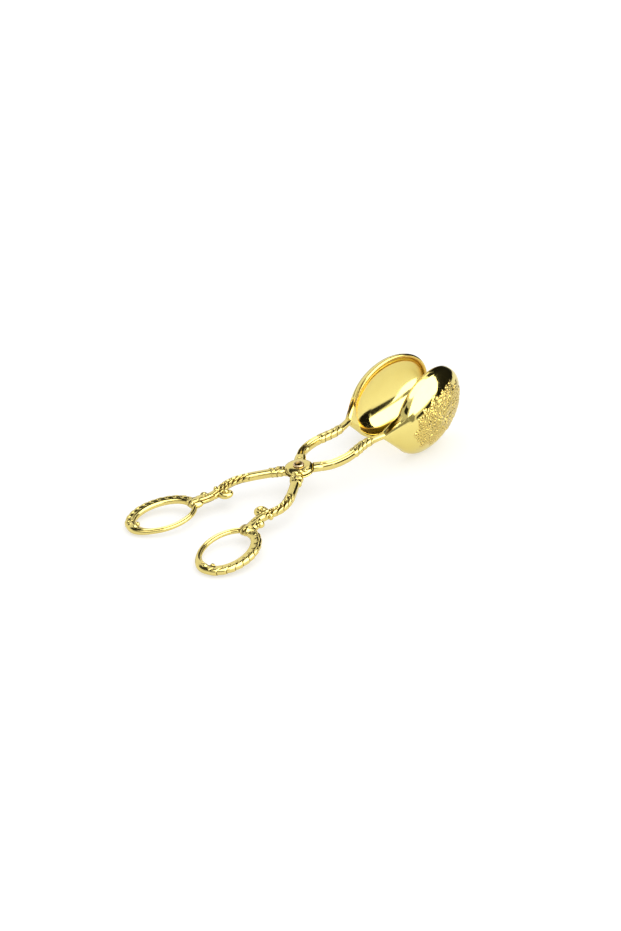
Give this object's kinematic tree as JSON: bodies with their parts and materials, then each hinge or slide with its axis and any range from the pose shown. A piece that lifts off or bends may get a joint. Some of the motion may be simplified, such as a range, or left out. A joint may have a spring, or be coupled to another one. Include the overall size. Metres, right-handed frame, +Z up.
{
  "type": "salad tongs",
  "caption": "Scissor-action salad tongs in polished gold plate, with carved arms, oval finger rings and facing spoon bowls that close on food.",
  "frame": {"origin": "on the table, in the middle of the footprint of the tongs lying partly open", "axes": "+X from the finger rings to the bowls, +Y to the upper arm's bowl, +Z up from the table"},
  "size_m": [0.2414, 0.0916, 0.0547],
  "materials": {
    "lower_arm": "polished gold plate over a cast brass arm, carved leaves in relief",
    "lower_bowl": "mirror-polished gold plate over pressed brass, leaf relief on the back",
    "upper_arm": "polished gold plate over a cast brass arm, carved leaves in relief",
    "upper_bowl": "mirror-polished gold plate over pressed brass, leaf relief on the back",
    "pivot_rivet": "bright rolled tubular rivet, slightly rosier than the plate",
    "pivot_washer": "plain brass, hidden between the arms",
    "rivet_burr": "plated washer under the rivet's tail"
  },
  "bodies": {
    "lower_half": {"lower_arm": "lower_arm", "lower_bowl": "lower_bowl", "pivot_rivet": "pivot_rivet", "pivot_washer": "pivot_washer", "rivet_burr": "rivet_burr"},
    "upper_half": {"upper_arm": "upper_arm", "upper_bowl": "upper_bowl"}
  },
  "joints": [
    {"name": "scissor_pivot", "type": "hinge", "parent": "lower_half", "child": "upper_half", "pos_m": [-0.01409, 0, 0.01503], "axis": [-0.1177, 0, 0.9931], "range_deg": [-8.5, 50]}
  ]
}
